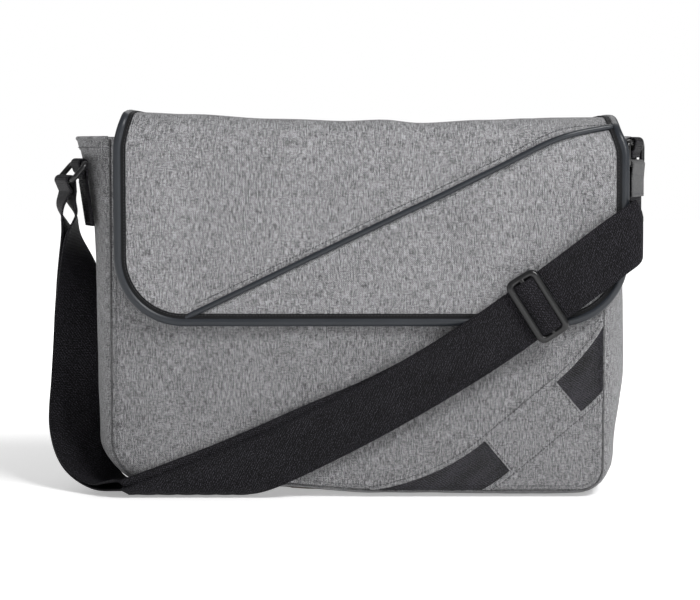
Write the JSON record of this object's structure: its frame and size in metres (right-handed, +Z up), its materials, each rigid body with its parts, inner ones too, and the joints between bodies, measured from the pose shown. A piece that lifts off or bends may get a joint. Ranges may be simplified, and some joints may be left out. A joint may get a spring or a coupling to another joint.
{
  "type": "messenger bag",
  "caption": "Messenger bag with a folding front flap, side gussets, a webbing shoulder strap on rectangular rings and a slider.",
  "frame": {"origin": "middle of the flat base, between the side seams and between the front and back seams", "axes": "+Z up, front faces -Y, +X to the right seen from the front"},
  "size_m": [0.4583, 0.1242, 0.2738],
  "materials": {
    "grey_fabric": "heather grey woven polyester, matt",
    "black_webbing": "black ribbed webbing and twill",
    "slate_trim": "dark slate leatherette binding, soft sheen",
    "dark_plastic": "moulded dark plastic, satin",
    "board": "plain stiffener board",
    "foam": "closed foam sheet",
    "lining_cloth": "plain dark lining cloth",
    "hook_and_loop": "black hook and loop tape"
  },
  "bodies": {
    "bag": {"front_panel": "grey_fabric", "accent_band": "black_webbing", "accent_patch": "grey_fabric", "back_panel": "grey_fabric", "left_gusset": "grey_fabric", "right_gusset": "grey_fabric", "bottom_gusset": "grey_fabric", "base_board": "board", "back_padding": "foam", "lining": "lining_cloth", "inner_pocket": "lining_cloth", "left_tab": "black_webbing", "right_tab": "black_webbing", "loop_tape_left": "hook_and_loop", "loop_tape_right": "hook_and_loop"},
    "flap": {"flap_top": "grey_fabric", "flap_top_lining": "lining_cloth", "flap_top_binding_left": "slate_trim", "flap_top_binding_right": "slate_trim"},
    "flap_front": {"flap_front_upper": "grey_fabric", "flap_front_lower": "grey_fabric", "flap_front_lining": "lining_cloth", "flap_binding": "slate_trim", "diagonal_piping": "slate_trim", "hook_tape_left": "hook_and_loop", "hook_tape_right": "hook_and_loop"},
    "ring_left": {"left_ring": "dark_plastic"},
    "ring_right": {"right_ring": "dark_plastic"},
    "strap": {"strap_webbing": "black_webbing", "strap_end_sleeve": "grey_fabric"},
    "slider": {"slider": "dark_plastic"}
  },
  "joints": [
    {"name": "flap_open", "type": "hinge", "parent": "bag", "child": "flap", "pos_m": [0.01, 0.0515, 0.2735], "axis": [-1, 0, 0], "range_deg": [0, 235], "deforming": ["strap_webbing", "strap_end_sleeve", "slider"]},
    {"name": "flap_fold", "type": "hinge", "parent": "flap", "child": "flap_front", "pos_m": [0.01, -0.0484, 0.2738], "axis": [-1, 0, 0], "range_deg": [0, 90]},
    {"name": "strap_swing", "type": "hinge", "parent": "bag", "child": "strap", "pos_m": [0.0001, -0.0242, 0.2483], "axis": [-0.9992, 0, -0.0407], "range_deg": [0, 165]},
    {"name": "left_ring_pivot", "type": "hinge", "parent": "bag", "child": "ring_left", "pos_m": [-0.20267, -0.02415, 0.24008], "axis": [-0.3398, 0.9405, 0], "range_deg": [0, 116]},
    {"name": "right_ring_pivot", "type": "hinge", "parent": "bag", "child": "ring_right", "pos_m": [0.20283, -0.02418, 0.2566], "axis": [-0.3418, -0.9398, 0], "range_deg": [0, 133]},
    {"name": "slider_slide", "type": "slide", "parent": "strap", "child": "slider", "axis": [-0.8102, 0, -0.5861], "range_m": [0, 0.05]}
  ],
  "couplings": [
    {"joint": "flap_fold", "follows": "flap_open", "ratio": 0.38},
    {"joint": "left_ring_pivot", "follows": "strap_swing", "ratio": 0.7},
    {"joint": "right_ring_pivot", "follows": "strap_swing", "ratio": 0.8}
  ]
}
